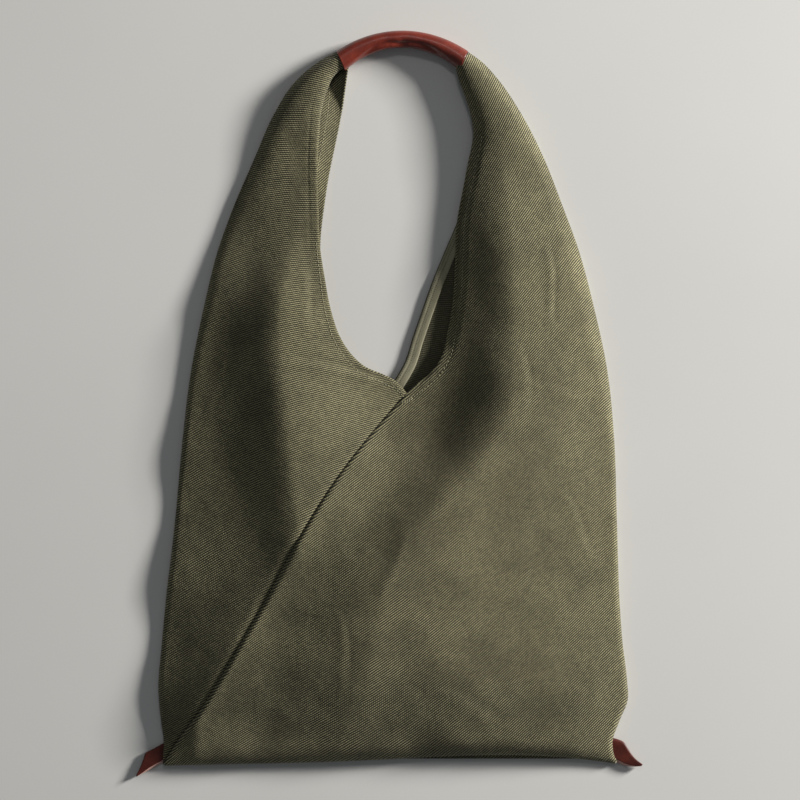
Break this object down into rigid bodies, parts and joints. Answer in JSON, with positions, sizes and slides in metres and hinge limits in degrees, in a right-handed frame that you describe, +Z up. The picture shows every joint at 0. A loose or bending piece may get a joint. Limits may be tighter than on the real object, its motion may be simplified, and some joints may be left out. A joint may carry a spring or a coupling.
{
  "type": "hobo bag",
  "caption": "Slouchy open shoulder bag of heavy twill with a diagonal seam, leather handle sleeve and leather corner tabs, lying flat.",
  "frame": {"origin": "under the middle of the bag's bounding box, on the surface that it lies on", "axes": "+Y from the bag's bottom edge towards its handle, +Z up from the surface through the front of the bag, +X to the right as seen from the front"},
  "size_m": [0.476, 0.7001, 0.0419],
  "materials": {
    "twill": "washed olive twill",
    "binding_tape": "khaki cotton tape",
    "thread": "khaki sewing thread",
    "handle_leather": "semi-gloss reddish brown",
    "tab_leather": "satin reddish brown"
  },
  "bodies": {
    "body": {"left_panel": "twill", "right_panel": "twill", "front_seam_tape": "binding_tape", "back_seam_tape": "binding_tape"},
    "horns": {"left_horn": "twill", "right_horn": "twill", "gathered_tip_left": "twill", "gathered_tip_right": "twill", "front_neck_tape_left": "binding_tape", "front_neck_tape_right": "binding_tape", "back_neck_tape_left": "binding_tape", "back_neck_tape_right": "binding_tape"},
    "handle": {"handle_sleeve": "handle_leather", "handle_core": "twill", "handle_stitches": "thread"},
    "left_tab": {"left_tab": "tab_leather"},
    "right_tab": {"right_tab": "tab_leather"}
  },
  "joints": [
    {"name": "horns_fold", "type": "hinge", "parent": "body", "child": "horns", "pos_m": [0, -0.005, 0.042], "axis": [1, 0, 0], "range_deg": [0, 120]},
    {"name": "handle_swing", "type": "hinge", "parent": "horns", "child": "handle", "pos_m": [0.0124, 0.3213, 0.01], "axis": [1, 0, 0], "range_deg": [0, 90]},
    {"name": "left_tab_bend", "type": "hinge", "parent": "body", "child": "left_tab", "pos_m": [-0.2126, -0.327, 0.0028], "axis": [0, 1, 0], "range_deg": [0, 75], "stiffness_Nm_per_rad": 0.005},
    {"name": "right_tab_bend", "type": "hinge", "parent": "body", "child": "right_tab", "pos_m": [0.2134, -0.325, 0.0028], "axis": [0, -1, 0], "range_deg": [0, 75], "stiffness_Nm_per_rad": 0.005}
  ]
}
